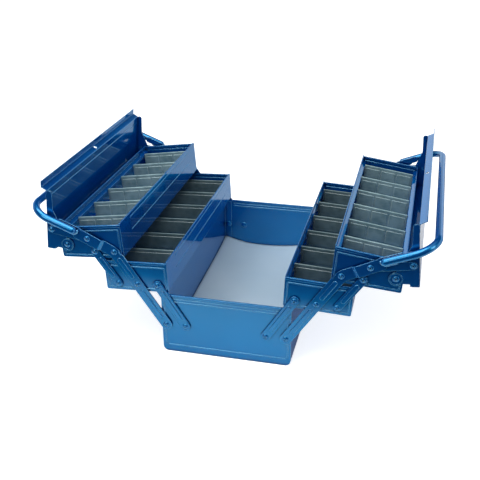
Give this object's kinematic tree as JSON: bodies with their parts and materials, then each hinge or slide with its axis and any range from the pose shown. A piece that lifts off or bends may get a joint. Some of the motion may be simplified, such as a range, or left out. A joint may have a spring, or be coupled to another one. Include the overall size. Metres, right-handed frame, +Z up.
{
  "type": "cantilever tool box",
  "caption": "Cantilever tool box in folded steel: divided trays with lids swing out from a deep base on linked arms, and a tubular handle carries each side",
  "frame": {"origin": "centre of the underside of the base, on the surface the box stands on", "axes": "+X across the box, from the left trays to the right trays; +Y along the box, from the front end panel to the rear end panel; +Z up"},
  "size_m": [0.6514, 0.449, 0.2877],
  "materials": {
    "blue_enamel": "gloss stoved enamel on sheet steel",
    "zinc_sheet": "galvanised sheet, dull grey",
    "liner_card": "smooth pale blue-grey liner sheet"
  },
  "bodies": {
    "base": {"base_tub": "blue_enamel", "base_front_panel": "blue_enamel", "base_rear_panel": "blue_enamel", "base_liner": "liner_card", "base_rivets": "blue_enamel"},
    "right_handle": {"right_long_arm_front": "blue_enamel", "right_long_arm_rear": "blue_enamel", "right_handle_tube": "blue_enamel", "right_handle_rivets": "blue_enamel"},
    "right_lower_arms": {"right_lower_arm_front": "blue_enamel", "right_lower_arm_rear": "blue_enamel"},
    "right_middle_tray": {"right_middle_tray_trough": "blue_enamel", "right_middle_tray_front_wall": "blue_enamel", "right_middle_tray_rear_wall": "blue_enamel", "right_middle_tray_dividers": "zinc_sheet", "right_middle_tray_rivets": "blue_enamel"},
    "right_upper_arms": {"right_upper_arm_front": "blue_enamel", "right_upper_arm_rear": "blue_enamel"},
    "right_upper_tray": {"right_upper_tray_trough": "blue_enamel", "right_upper_tray_front_wall": "blue_enamel", "right_upper_tray_rear_wall": "blue_enamel", "right_upper_tray_dividers": "zinc_sheet", "right_upper_tray_rivets": "blue_enamel"},
    "right_lid": {"right_lid_cover": "blue_enamel", "right_lid_end_front": "blue_enamel", "right_lid_end_rear": "blue_enamel", "right_lid_rivets": "blue_enamel"},
    "right_lid_links": {"right_lid_link_front": "blue_enamel", "right_lid_link_rear": "blue_enamel"},
    "left_handle": {"left_long_arm_front": "blue_enamel", "left_long_arm_rear": "blue_enamel", "left_handle_tube": "blue_enamel", "left_handle_rivets": "blue_enamel"},
    "left_lower_arms": {"left_lower_arm_front": "blue_enamel", "left_lower_arm_rear": "blue_enamel"},
    "left_middle_tray": {"left_middle_tray_trough": "blue_enamel", "left_middle_tray_front_wall": "blue_enamel", "left_middle_tray_rear_wall": "blue_enamel", "left_middle_tray_dividers": "zinc_sheet", "left_middle_tray_rivets": "blue_enamel"},
    "left_upper_arms": {"left_upper_arm_front": "blue_enamel", "left_upper_arm_rear": "blue_enamel"},
    "left_upper_tray": {"left_upper_tray_trough": "blue_enamel", "left_upper_tray_front_wall": "blue_enamel", "left_upper_tray_rear_wall": "blue_enamel", "left_upper_tray_dividers": "zinc_sheet", "left_upper_tray_rivets": "blue_enamel"},
    "left_lid": {"left_lid_cover": "blue_enamel", "left_lid_end_front": "blue_enamel", "left_lid_end_rear": "blue_enamel", "left_lid_rivets": "blue_enamel"},
    "left_lid_links": {"left_lid_link_front": "blue_enamel", "left_lid_link_rear": "blue_enamel"}
  },
  "joints": [
    {"name": "right_handle_hinge", "type": "hinge", "parent": "base", "child": "right_handle", "pos_m": [0.1, 0, 0.0525], "axis": [0, -1, 0], "range_deg": [0, 68]},
    {"name": "right_lower_arms_hinge", "type": "hinge", "parent": "base", "child": "right_lower_arms", "pos_m": [0.067, 0, 0.0525], "axis": [0, -1, 0], "range_deg": [0, 67.38]},
    {"name": "right_middle_tray_hinge", "type": "hinge", "parent": "right_handle", "child": "right_middle_tray", "pos_m": [0.14641, 0, 0.12183], "axis": [0, -1, 0], "range_deg": [-65.16, 0]},
    {"name": "right_upper_arms_hinge", "type": "hinge", "parent": "right_middle_tray", "child": "right_upper_arms", "pos_m": [0.17897, 0, 0.12021], "axis": [0, -1, 0], "range_deg": [0, 65.62]},
    {"name": "right_upper_tray_hinge", "type": "hinge", "parent": "right_handle", "child": "right_upper_tray", "pos_m": [0.18273, 0, 0.17609], "axis": [0, -1, 0], "range_deg": [-63.44, 0]},
    {"name": "right_lid_hinge", "type": "hinge", "parent": "right_upper_tray", "child": "right_lid", "pos_m": [0.26355, 0, 0.18067], "axis": [0, -1, 0], "range_deg": [0, 77.12]},
    {"name": "right_lid_links_hinge", "type": "hinge", "parent": "right_lid", "child": "right_lid_links", "pos_m": [0.28699, 0, 0.20672], "axis": [0, -1, 0], "range_deg": [-99.33, 0]},
    {"name": "left_handle_hinge", "type": "hinge", "parent": "base", "child": "left_handle", "pos_m": [-0.1, 0, 0.0525], "axis": [0, 1, 0], "range_deg": [0, 68]},
    {"name": "left_lower_arms_hinge", "type": "hinge", "parent": "base", "child": "left_lower_arms", "pos_m": [-0.067, 0, 0.0525], "axis": [0, 1, 0], "range_deg": [0, 67.38]},
    {"name": "left_middle_tray_hinge", "type": "hinge", "parent": "left_handle", "child": "left_middle_tray", "pos_m": [-0.14641, 0, 0.12183], "axis": [0, 1, 0], "range_deg": [-65.16, 0]},
    {"name": "left_upper_arms_hinge", "type": "hinge", "parent": "left_middle_tray", "child": "left_upper_arms", "pos_m": [-0.17897, 0, 0.12021], "axis": [0, 1, 0], "range_deg": [0, 65.62]},
    {"name": "left_upper_tray_hinge", "type": "hinge", "parent": "left_handle", "child": "left_upper_tray", "pos_m": [-0.18273, 0, 0.17609], "axis": [0, 1, 0], "range_deg": [-63.44, 0]},
    {"name": "left_lid_hinge", "type": "hinge", "parent": "left_upper_tray", "child": "left_lid", "pos_m": [-0.26355, 0, 0.18067], "axis": [0, 1, 0], "range_deg": [0, 77.12]},
    {"name": "left_lid_links_hinge", "type": "hinge", "parent": "left_lid", "child": "left_lid_links", "pos_m": [-0.28699, 0, 0.20672], "axis": [0, 1, 0], "range_deg": [-99.33, 0]}
  ],
  "couplings": [
    {"joint": "right_lower_arms_hinge", "follows": "right_handle_hinge", "ratio": 0.99082},
    {"joint": "right_middle_tray_hinge", "follows": "right_handle_hinge", "ratio": -0.95819},
    {"joint": "right_upper_arms_hinge", "follows": "right_handle_hinge", "ratio": 0.96505},
    {"joint": "right_upper_tray_hinge", "follows": "right_handle_hinge", "ratio": -0.93286},
    {"joint": "right_lid_hinge", "follows": "right_handle_hinge", "ratio": 1.1342},
    {"joint": "right_lid_links_hinge", "follows": "right_handle_hinge", "ratio": -1.4607},
    {"joint": "left_lower_arms_hinge", "follows": "left_handle_hinge", "ratio": 0.99082},
    {"joint": "left_middle_tray_hinge", "follows": "left_handle_hinge", "ratio": -0.95819},
    {"joint": "left_upper_arms_hinge", "follows": "left_handle_hinge", "ratio": 0.96505},
    {"joint": "left_upper_tray_hinge", "follows": "left_handle_hinge", "ratio": -0.93286},
    {"joint": "left_lid_hinge", "follows": "left_handle_hinge", "ratio": 1.1342},
    {"joint": "left_lid_links_hinge", "follows": "left_handle_hinge", "ratio": -1.4607}
  ]
}
